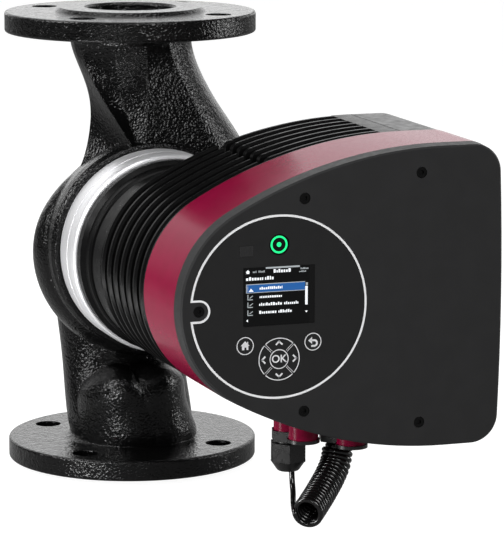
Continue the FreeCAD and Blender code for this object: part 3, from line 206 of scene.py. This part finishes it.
# Name: colour, metallic, specular, roughness from and to, and the size of its patches in
# millimetres with their stretch. The first ones are the material slots of the record, and
# the last ones, from key_print on, are those of the prints.
FINISHES = {
    "cast_paint": (grey(0.002), 0.0, 0.21, 0.12, 0.2, 6, EVEN),
    "motor_paint": (grey(0.003), 0.0, 0.04, 0.26, 0.34, 8, EVEN),
    "sink_paint": (grey(0.003), 0.0, 0.04, 0.26, 0.34, 8, EVEN),
    "stainless": (grey(0.62), 1.0, 0.5, 0.2, 0.34, 3, (1.0, 0.1, 1.0)),
    "clamp_stainless": (grey(0.85), 0.7, 0.5, 0.34, 0.38, 2, (0.15, 3.0, 0.15)),
    "shaft_steel": (grey(0.55), 1.0, 0.5, 0.16, 0.26, 1, (1.0, 0.1, 1.0)),
    "rotor_iron": (grey(0.3), 1.0, 0.5, 0.35, 0.5, 2, EVEN),
    "lamination": (grey(0.22), 1.0, 0.5, 0.35, 0.5, 1, (0.1, 4.0, 0.1)),
    "copper": ((0.72, 0.33, 0.14, 1.0), 1.0, 0.5, 0.25, 0.4, 3, EVEN),
    "graphite": (grey(0.04), 0.0, 0.4, 0.5, 0.65, 2, EVEN),
    "ceramic_white": ((0.85, 0.84, 0.8, 1.0), 0.0, 0.5, 0.2, 0.3, 3, EVEN),
    "rubber_black": (grey(0.012), 0.0, 0.3, 0.6, 0.75, 3, EVEN),
    "crimson_plastic": ((0.155, 0.0005, 0.022, 1.0), 0.0, 0.08, 0.2, 0.25, 2, EVEN),
    "box_plastic": (grey(0.006), 0.0, 0.3, 0.34, 0.46, 5, EVEN),
    "cover_plastic": (grey(0.023), 0.0, 0.1, 0.42, 0.52, 4, EVEN),
    "panel_plastic": (grey(0.011), 0.0, 0.2, 0.38, 0.46, 6, EVEN),
    "trim_silver": ((0.86, 0.86, 0.87, 1.0), 0.0, 0.5, 0.3, 0.4, 4, EVEN),
    "key_plastic": (grey(0.011), 0.0, 0.2, 0.4, 0.5, 4, EVEN),
    "screen": (grey(0.004), 0.0, 0.15, 0.1, 0.16, 20, EVEN),
    "lamp_green": ((0.003, 0.005, 0.004, 1.0), 0.0, 0.12, 0.12, 0.2, 4, EVEN),
    "window_grey": (grey(0.02), 0.0, 0.25, 0.2, 0.3, 3, EVEN),
    "circuit_green": ((0.02, 0.16, 0.06, 1.0), 0.0, 0.5, 0.35, 0.5, 2, EVEN),
    "capacitor_black": (grey(0.03), 0.0, 0.5, 0.25, 0.35, 4, EVEN),
    "terminal_grey": (grey(0.42), 0.0, 0.5, 0.4, 0.5, 3, EVEN),
    "screw_black": (grey(0.0015), 0.0, 0.12, 0.28, 0.42, 1, EVEN),
    "gland_plastic": (grey(0.005), 0.0, 0.3, 0.26, 0.36, 3, EVEN),
    "cord_black": (grey(0.003), 0.0, 0.35, 0.14, 0.22, 2, EVEN),
    "key_print": (grey(0.78), 0.0, 0.3, 0.4, 0.5, 1, EVEN),
    "lamp_light": ((0.0, 0.3, 0.08, 1.0), 0.0, 0.5, 0.2, 0.3, 1, EVEN),
    "window_bar": (grey(0.012), 0.0, 0.3, 0.3, 0.4, 1, EVEN),
    "screen_ground": (grey(0.003), 0.0, 0.1, 0.12, 0.2, 10, EVEN),
    "screen_blue": ((0.005, 0.03, 0.09, 1.0), 0.0, 0.5, 0.15, 0.2, 3, EVEN),
    "screen_grey": (grey(0.2), 0.0, 0.5, 0.2, 0.3, 1, EVEN),
    "screen_white": (grey(0.5), 0.0, 0.5, 0.2, 0.3, 1, EVEN),
}
# Radius in millimetres by which sharp edges look rounded
SOFT_EDGES = {"cast_paint": 1.2}
# Second colour, and the size of its patches in millimetres
TINTS = {
    "crimson_plastic": ((0.145, 0.0005, 0.02, 1.0), 12),
    "cover_plastic": (grey(0.0215), 15),
    "circuit_green": ((0.015, 0.12, 0.045, 1.0), 4),
    "key_print": (grey(0.72), 2),
}
# Grain: height and size in millimetres, the noise's detail and its stretch
GRAINS = {
    "cast_paint": ((0.6, 1.7, 1.5, EVEN), (0.45, 5, PLAIN_DETAIL, EVEN)),
    "motor_paint": ((0.03, 0.8, PLAIN_DETAIL, EVEN),),
    "sink_paint": ((0.03, 0.9, PLAIN_DETAIL, EVEN),),
    "lamination": ((0.08, 0.6, 1.0, (0.05, 4.0, 0.05)),),
    "copper": ((0.3, 1, 1.0, (1.0, 0.2, 1.0)),),
    "crimson_plastic": ((0.015, 0.7, PLAIN_DETAIL, EVEN),),
    "box_plastic": ((0.02, 0.7, PLAIN_DETAIL, EVEN),),
    "cover_plastic": ((0.02, 0.6, PLAIN_DETAIL, EVEN),),
    "panel_plastic": ((0.008, 0.5, PLAIN_DETAIL, EVEN),),
    "key_plastic": ((0.01, 0.5, PLAIN_DETAIL, EVEN),),
    "gland_plastic": ((0.02, 0.8, PLAIN_DETAIL, EVEN),),
}
# Colour and strength of the light that a surface gives off
GLOWS = {
    "lamp_light": ((0.012, 1.0, 0.3, 1.0), 0.95),
    "screen_ground": ((0.5, 0.55, 0.6, 1.0), 0.002),
    "screen_blue": ((0.006, 0.1, 0.36, 1.0), 0.8),
    "screen_grey": ((0.6, 0.68, 0.72, 1.0), 0.4),
    "screen_white": ((0.9, 0.95, 1.0, 1.0), 0.7),
}


# ---- small helpers
def axes_of(yaw, pitch, roll):
    """The camera's right, up and forward directions."""
    forward = Vector((math.sin(yaw) * math.cos(pitch), math.cos(yaw) * math.cos(pitch),
                      -math.sin(pitch)))
    level = Vector((math.cos(yaw), -math.sin(yaw), 0.0))
    upright = level.cross(forward)
    right = level * math.cos(roll) + upright * math.sin(roll)
    up = upright * math.cos(roll) - level * math.sin(roll)
    return right, up, forward


def add_object(name, data):
    obj = bpy.data.objects.new(name, data)
    bpy.context.scene.collection.objects.link(obj)
    return obj


def middle(node):
    low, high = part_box(node)
    return (low + high) / 2


def map_range(tree, value, start, end, low, high, kind="LINEAR"):
    """A node that turns a value from start to end into one from low to high."""
    node = tree.nodes.new("ShaderNodeMapRange")
    node.interpolation_type = kind
    limits = {"From Min": start, "From Max": end, "To Min": low, "To Max": high}
    for name, number in limits.items():
        node.inputs[name].default_value = number
    tree.links.new(value, node.inputs["Value"])
    return node.outputs["Result"]


def combine(tree, operation, first, second):
    node = tree.nodes.new("ShaderNodeMath")
    node.operation = operation
    tree.links.new(first, node.inputs[0])
    tree.links.new(second, node.inputs[1])
    return node.outputs[0]


def ray_kinds(tree):
    """1 for camera rays, and 1 for glossy and transmission rays."""
    path = tree.nodes.new("ShaderNodeLightPath")
    mirrored = combine(tree, "MAXIMUM", path.outputs["Is Glossy Ray"],
                       path.outputs["Is Transmission Ray"])
    return path.outputs["Is Camera Ray"], mirrored


# ---- materials
class Finish:
    """A node material with short calls for the usual kinds of surface variation."""

    def __init__(self, name, colour, metallic=0.0, specular=0.5):
        self.material = bpy.data.materials.new(name)
        self.material.use_nodes = True
        self.tree = self.material.node_tree
        self.shader = self.tree.nodes["Principled BSDF"]
        self.shader.inputs["Base Color"].default_value = colour
        self.shader.inputs["Metallic"].default_value = metallic
        self.shader.inputs["Specular IOR Level"].default_value = specular
        self.place = self.tree.nodes.new("ShaderNodeTexCoord").outputs["Object"]
        self.normal = None

    def noise(self, size, detail, stretch=EVEN):
        """Noise whose features are about size metres across."""
        texture = self.tree.nodes.new("ShaderNodeTexNoise")
        texture.inputs["Scale"].default_value = 1.0 / size
        texture.inputs["Detail"].default_value = detail
        place = self.place
        if stretch != EVEN:
            mapping = self.tree.nodes.new("ShaderNodeMapping")
            mapping.inputs["Scale"].default_value = stretch
            self.tree.links.new(place, mapping.inputs["Vector"])
            place = mapping.outputs["Vector"]
        self.tree.links.new(place, texture.inputs["Vector"])
        return texture.outputs["Fac"]

    def tint(self, other, size):
        """The colour drifts to other in patches of that size."""
        mix = self.tree.nodes.new("ShaderNodeMix")
        mix.data_type = "RGBA"
        share, first, second = mix.inputs[0], mix.inputs[6], mix.inputs[7]
        first.default_value = self.shader.inputs["Base Color"].default_value
        second.default_value = other
        patches = self.noise(size, PLAIN_DETAIL)
        self.tree.links.new(map_range(self.tree, patches, TINT_FROM, TINT_TO, 0.0, 1.0), share)
        self.tree.links.new(mix.outputs[2], self.shader.inputs["Base Color"])

    def uneven(self, low, high, size, stretch):
        """The roughness wanders between low and high."""
        patches = self.noise(size, ROUGH_DETAIL, stretch)
        rough = map_range(self.tree, patches, ROUGH_FROM, ROUGH_TO, low, high)
        self.tree.links.new(rough, self.shader.inputs["Roughness"])

    def bump(self, height, size, detail, stretch):
        """Raised grain of that height and size, on top of any earlier grain."""
        node = self.tree.nodes.new("ShaderNodeBump")
        node.inputs["Strength"].default_value = 1.0
        node.inputs["Distance"].default_value = height
        self.tree.links.new(self.noise(size, detail, stretch), node.inputs["Height"])
        if self.normal is not None:
            self.tree.links.new(self.normal, node.inputs["Normal"])
        self.set_normal(node)

    def soften(self, radius):
        """Sharp edges catch the light as if they were rounded."""
        node = self.tree.nodes.new("ShaderNodeBevel")
        node.inputs["Radius"].default_value = radius
        self.set_normal(node)

    def set_normal(self, node):
        self.normal = node.outputs["Normal"]
        self.tree.links.new(self.normal, self.shader.inputs["Normal"])

    def glow(self, colour, strength):
        self.shader.inputs["Emission Color"].default_value = colour
        self.shader.inputs["Emission Strength"].default_value = strength


def build_finishes():
    """The materials by name."""
    materials = {}
    for name, look in FINISHES.items():
        colour, metallic, specular, rough_from, rough_to, patch, stretch = look
        finish = Finish(name, colour, metallic, specular)
        if name in SOFT_EDGES:
            finish.soften(SOFT_EDGES[name] * MM)
        if name in TINTS:
            other, size = TINTS[name]
            finish.tint(other, size * MM)
        finish.uneven(rough_from, rough_to, patch * MM, stretch)
        for height, size, detail, drawn_out in GRAINS.get(name, ()):
            finish.bump(height * MM, size * MM, detail, drawn_out)
        if name in GLOWS:
            finish.glow(*GLOWS[name])
        materials[name] = finish.material
    return materials


def dress_nodes(finishes):
    for part in frame["record"]["subparts"]:
        mesh_object = frame["nodes"][part["node"]]
        mesh_object.data.materials.clear()
        mesh_object.data.materials.append(finishes[part["material_slot"]])


# ---- camera, floor and light
def set_camera():
    data = bpy.data.cameras.new("camera")
    data.lens = LENS_MM
    data.sensor_width = SENSOR_MM
    data.clip_end = CAMERA_REACH
    camera = add_object("camera", data)
    right, up, forward = axes_of(CAMERA_YAW, CAMERA_PITCH, CAMERA_ROLL)
    turn = Matrix((right, up, -forward)).transposed().to_4x4()
    camera.matrix_world = Matrix.Translation(CAMERA_AT) @ turn
    bpy.context.scene.camera = camera


def set_world():
    """A white backdrop behind the pump, and a darker room in front of it."""
    world = bpy.data.worlds.new("studio")
    world.use_nodes = True
    tree = world.node_tree
    background = tree.nodes["Background"]
    background.inputs["Color"].default_value = WHITE
    camera, mirrored = ray_kinds(tree)
    facing = tree.nodes.new("ShaderNodeVectorMath")
    facing.operation = "DOT_PRODUCT"
    facing.inputs[1].default_value = Vector(BACKDROP_SIDE).normalized()
    direction = tree.nodes.new("ShaderNodeTexCoord").outputs["Generated"]
    tree.links.new(direction, facing.inputs[0])
    room = map_range(tree, facing.outputs["Value"], BACKDROP_EDGE, 1.0, ROOM_DARK, ROOM_BRIGHT,
                     "SMOOTHSTEP")
    share = map_range(tree, mirrored, 0.0, 1.0, ROOM_FILL, 1.0)
    shine = combine(tree, "MULTIPLY", room, share)
    strength = combine(tree, "MAXIMUM", camera, shine)
    tree.links.new(strength, background.inputs["Strength"])
    bpy.context.scene.world = world


def make_floor():
    """A floor that the camera sees white, and that keeps the pump's shadow."""
    mesh = bpy.data.meshes.new("floor")
    corners = [(-FLOOR_REACH, -FLOOR_REACH, 0.0), (FLOOR_REACH, -FLOOR_REACH, 0.0),
               (FLOOR_REACH, FLOOR_REACH, 0.0), (-FLOOR_REACH, FLOOR_REACH, 0.0)]
    mesh.from_pydata(corners, [], [(0, 1, 2, 3)])
    floor = add_object("floor", mesh)
    floor.location.z = CAD_BOX[0][2] - FLOOR_GAP
    finish = Finish("floor_white", FLOOR_COLOUR, specular=FLOOR_SPECULAR)
    finish.shader.inputs["Roughness"].default_value = FLOOR_ROUGHNESS
    finish.tint(FLOOR_PATCHES, FLOOR_PATCH)
    camera, mirrored = ray_kinds(finish.tree)
    seen = map_range(finish.tree, camera, 0.0, 1.0, 0.0, FLOOR_SEEN)
    reflected = map_range(finish.tree, mirrored, 0.0, 1.0, 0.0, FLOOR_MIRRORED)
    strength = combine(finish.tree, "MAXIMUM", seen, reflected)
    finish.shader.inputs["Emission Color"].default_value = WHITE
    finish.tree.links.new(strength, finish.shader.inputs["Emission Strength"])
    mesh.materials.append(finish.material)


def add_lamp(name, at, aim, width, height, radiance):
    """A soft rectangular lamp of an even brightness."""
    data = bpy.data.lights.new(name, "AREA")
    data.shape = "RECTANGLE"
    data.size = width
    data.size_y = height
    data.energy = radiance * math.pi * width * height
    lamp = add_object(name, data)
    lamp.location = at
    lamp.rotation_euler = (Vector(aim) - Vector(at)).to_track_quat("-Z", "Y").to_euler()
    lamp.visible_camera = False


# ---- prints: thin flat shapes on the front of a piece
class Print:
    """Flat outlines in X and Z, in millimetres from the middle of a CAD node."""

    def __init__(self, node):
        self.node = node
        self.outlines = []

    def polygon(self, *points):
        self.outlines.append(points)
        return self

    def block(self, x0, z0, x1, z1):
        return self.polygon((x0, z0), (x1, z0), (x1, z1), (x0, z1))

    def line(self, start, end, width):
        (x0, z0), (x1, z1) = start, end
        length = math.hypot(x1 - x0, z1 - z0)
        side_x, side_z = (z0 - z1) / length * width / 2, (x1 - x0) / length * width / 2
        return self.polygon((x0 - side_x, z0 - side_z), (x1 - side_x, z1 - side_z),
                            (x1 + side_x, z1 + side_z), (x0 + side_x, z0 + side_z))

    def arc(self, radius, width, start, end, centre=(0.0, 0.0), steps=24):
        """Band of a circle from one angle to another, in degrees anticlockwise from the right."""
        for k in range(steps):
            a, b = (math.radians(start + (end - start) * (k + j) / steps) for j in (0, 1))
            corners = ((radius - width / 2, a), (radius + width / 2, a),
                       (radius + width / 2, b), (radius - width / 2, b))
            self.polygon(*[(centre[0] + r * math.cos(t), centre[1] + r * math.sin(t))
                           for r, t in corners])
        return self

    def ring(self, radius, width=RING_LINE, steps=RING_STEPS):
        return self.arc(radius, width, 0, 360, steps=steps)

    def word(self, x, z, width, height, chance):
        """A row of small blocks that reads as a word from afar and says nothing."""
        end = x + width
        while x < end - LETTER_REST * height:
            wide = height * chance.uniform(*LETTER_WIDTHS)
            low = z - height / 2
            top = low + height * chance.choice(LETTER_TOPS)
            self.block(x, low, min(x + wide, end), top)
            x += wide + LETTER_GAP * height
        return self

    def build(self, name, material, body, slot, lift=PRINT_T):
        """One mesh of all the shapes, raised by lift from the front of the node."""
        low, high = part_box(self.node)
        mid_x, mid_z = (low.x + high.x) / 2, (low.z + high.z) / 2
        points, faces = [], []
        for outline in self.outlines:
            first, count = len(points), len(outline)
            for depth in (lift, 0.0):
                points += [(mid_x + x * MM, low.y - depth, mid_z + z * MM) for x, z in outline]
            faces.append([first + k for k in range(count)])
            for k in range(count):
                after = (k + 1) % count
                faces.append([first + after, first + k, first + count + k, first + count + after])
        mesh = bpy.data.meshes.new(name)
        mesh.from_pydata(points, [], faces)
        mesh.materials.append(material)
        piece = add_object(name, mesh)
        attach(piece, body)


def print_keys(finishes):
    white = finishes["key_print"]
    house = Print("home_key").polygon(*HOUSE_ROOF)
    for corners in HOUSE_BLOCKS:
        house.block(*corners)
    house.ring(HOME_RING_R).build("home_key_print", white, "home_key", "trim_silver")
    back = Print("back_key").polygon(*RETURN_HEAD).line(*RETURN_STEM, RETURN_LINE)
    back.arc(RETURN_BEND_R, RETURN_LINE, 90, -110, RETURN_BEND_AT)
    back.line(*RETURN_TAIL, RETURN_LINE).ring(HOME_RING_R)
    back.build("back_key_print", white, "back_key", "trim_silver")
    Print("ok_key").ring(OK_RING_R).build("ok_key_ring", white, "ok_key", "trim_silver")
    print_word("ok_key_word", "OK", "ok_key", OK_HEIGHT * MM, white)
    for quarter, name in enumerate(("right_key", "up_key", "left_key", "down_key")):
        print_arrow(name, quarter, white)


def print_arrow(name, quarter, material):
    """The rim, the two edges and the chevron of one key of the round pad."""
    pad, own = middle("ok_key"), middle(name)
    shift = ((pad.x - own.x) / MM, (pad.z - own.z) / MM)
    aim = 90.0 * quarter
    reach = 45.0 - math.degrees(PAD_RING_GAP / PAD_RING_R)
    mark = Print(name).arc(PAD_RING_R, PAD_RING_LINE, aim - reach, aim + reach, shift)

    def at(radius, degrees, aside):
        """Place at a radius of the pad, and aside from the ray in that direction."""
        turn = math.radians(degrees)
        return (shift[0] + radius * math.cos(turn) - aside * math.sin(turn),
                shift[1] + radius * math.sin(turn) + aside * math.cos(turn))

    for side in (-1, 1):
        edge, aside = aim + 45 * side, -PAD_EDGE_ASIDE * side
        mark.line(at(PAD_EDGE_R, edge, aside), at(PAD_RING_R, edge, aside), PAD_EDGE_LINE)
        (tip_r, tip_aside), (foot_r, foot_aside) = CHEVRON_TIP, CHEVRON_FOOT
        mark.line(at(tip_r, aim, -tip_aside * side), at(foot_r, aim, foot_aside * side),
                  CHEVRON_LINE)
    mark.build(name + "_print", material, name, "trim_silver")


def print_word(name, word, node, height, material):
    """A word in the plain built-in font, centred on the front of a node."""
    text = bpy.data.curves.new(name, "FONT")
    text.body = word
    text.align_x = "CENTER"
    text.align_y = "CENTER"
    text.size = height / CAPITAL_SHARE
    text.offset = OK_BOLDER * MM
    text.extrude = PRINT_T / 2
    holder = add_object(name + "_text", text)
    bpy.context.view_layer.update()
    mesh = bpy.data.meshes.new_from_object(holder)
    bpy.data.objects.remove(holder)
    bpy.data.curves.remove(text)
    mid, front = middle(node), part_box(node)[0].y
    place = Vector((mid.x, front - PRINT_T / 2, mid.z))
    mesh.transform(Matrix.Translation(place) @ Matrix.Rotation(math.pi / 2, 4, "X"))
    mesh.materials.clear()
    mesh.materials.append(material)
    piece = add_object(name, mesh)
    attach(piece, node)


def print_lamp(finishes):
    """Running light: a plain ring around a plain dot, behind the round lens."""
    mark = Print("indicator_lens").ring(LAMP_DOT_R / 2, LAMP_DOT_R, RING_STEPS // 2)
    mark.ring(LAMP_RING_R, LAMP_RING_LINE)
    mark.build("lamp_light", finishes["lamp_light"], "pump", "lamp_green")


def print_window(finishes):
    bars = Print("ir_window")
    across, tall = WINDOW_BAR
    for x in WINDOW_BARS_AT:
        bars.block(x - across, -tall, x + across, tall)
    bars.build("ir_window_bars", finishes["window_bar"], "pump", "window_grey")


class Page(Print):
    """A print on the display, whose places are shares of its width and height."""

    def __init__(self, chance):
        super().__init__("display_module")
        low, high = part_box(self.node)
        self.wide, self.tall = (high.x - low.x) / MM, (high.z - low.z) / MM
        self.chance = chance

    def spot(self, u, v):
        return (u - 0.5) * self.wide, (0.5 - v) * self.tall

    def area(self, u0, v0, u1, v1):
        x0, z1 = self.spot(u0, v0)
        x1, z0 = self.spot(u1, v1)
        return self.block(x0, z0, x1, z1)

    def written(self, u, v, width, height):
        x, z = self.spot(u, v)
        return self.word(x, z, width * self.wide, height * self.tall, self.chance)

    def sign(self, place, outline):
        x, z = self.spot(*place)
        return self.polygon(*[(x + right, z + up) for right, up in outline])


def print_display(finishes):
    """A settings page: tab, heading, four rows of which the first is chosen, and a scroll bar."""
    chance = random.Random(DISPLAY_SEED)

    def lay(page, name, finish, layer):
        page.build(name, finishes[finish], "pump", "screen", PRINT_T * layer)

    lay(Page(chance).area(*PAGE_GROUND), "display_ground", "screen_ground", GROUND_LAYER)
    lay(Page(chance).area(*CHOSEN_ROW), "display_row", "screen_blue", ROW_LAYER)

    faint = Page(chance).area(*TAB_LINE)
    for word in FAINT_WORDS:
        faint.written(*word)
    for line in ROW_FRAME:
        faint.area(*line)
    for v in OTHER_ROWS:
        for left, top, right, bottom in (ICON_LEFT, ICON_FOOT):
            faint.area(left, v + top, right, v + bottom)
        x, z = faint.spot(ICON_SLOPE_AT[0], v + ICON_SLOPE_AT[1])
        faint.line(*[(x + right, z + up) for right, up in ICON_SLOPE], ICON_SLOPE_LINE)
    faint.area(*CHOSEN_ICON)
    lay(faint, "display_lines", "screen_grey", LINE_LAYER)

    bright = Page(chance)
    for word in BRIGHT_WORDS:
        bright.written(*word)
    bright.area(*SCROLL_BAR)
    for place, outline in (SCROLL_ARROW, BACK_ARROW, SMALL_ROOF, SMALL_WALLS, CHOSEN_SIGN):
        bright.sign(place, outline)
    lay(bright, "display_words", "screen_white", WORD_LAYER)


# ---- lead and coil
def spline_points(route):
    """Points along the smooth line through a route, in metres."""
    curve = route_curve("route", route)
    holder = add_object("route", curve)
    bpy.context.view_layer.update()
    mesh = bpy.data.meshes.new_from_object(holder)
    points = [vertex.co.copy() for vertex in mesh.vertices]
    bpy.data.objects.remove(holder)
    bpy.data.meshes.remove(mesh)
    bpy.data.curves.remove(curve)
    return points


def route_curve(name, points, diameter=0.0):
    """A smooth curve along a route, as thick as the diameter and capped at its ends."""
    curve = bpy.data.curves.new(name, "CURVE")
    curve.dimensions = "3D"
    curve.resolution_u = CURVE_STEPS
    curve.bevel_depth = diameter / 2
    curve.bevel_resolution = CORD_ROUNDNESS
    curve.use_fill_caps = diameter > 0
    spline = curve.splines.new("NURBS")
    spline.points.add(len(points) - 1)
    for control, point in zip(spline.points, points):
        control.co = (*point, 1.0)
    spline.order_u = CURVE_ORDER
    spline.use_endpoint_u = True
    return curve


def in_metres(route):
    return [Vector(point) * MM for point in route]


def helix_points(route, start):
    """Turns of the coil round its route, from start beside its free end to the gland's middle."""
    line = spline_points(in_metres(route))
    reach = [0.0]
    for a, b in zip(line, line[1:]):
        reach.append(reach[-1] + (b - a).length)
    count = int(reach[-1] / COIL_PITCH * COIL_TURN_POINTS)
    side = start - line[0]
    points = []
    k = 0
    for i in range(count + 1):
        along = reach[-1] * i / count
        while k < len(line) - 2 and reach[k + 1] < along:
            k += 1
        step = line[k + 1] - line[k]
        at = line[k] + step * ((along - reach[k]) / step.length)
        ahead = step.normalized()
        side = (side - ahead * side.dot(ahead)).normalized()
        turn = -2 * math.pi * i / COIL_TURN_POINTS
        out = side * math.cos(turn) + ahead.cross(side) * math.sin(turn)
        opening = min(1.0, COIL_END + (count - i) / COIL_TURN_POINTS)
        points.append(at + out * COIL_MIDDLE_R * math.sin(opening * math.pi / 2))
    return points


def path_length(points):
    return sum((b - a).length for a, b in zip(points, points[1:]))


def make_cord(finishes):
    straight = in_metres(LEAD_ROUTE)
    points = straight[:-1] + helix_points(COIL_ROUTE, straight[-1])
    curve = route_curve("lead", points, CORD_D)
    curve.materials.append(finishes["cord_black"])
    lead = add_object("lead", curve)
    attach(lead, "pump")
    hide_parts("lead_straight", "lead_coil")
    length = path_length(spline_points(points))


finishes = build_finishes()
set_camera()
make_cord(finishes)
dress_nodes(finishes)
print_keys(finishes)
print_lamp(finishes)
print_window(finishes)
print_display(finishes)
set_world()
make_floor()
for lamp in LAMPS:
    add_lamp(*lamp)

bpy.context.scene.view_settings.view_transform = "Standard"
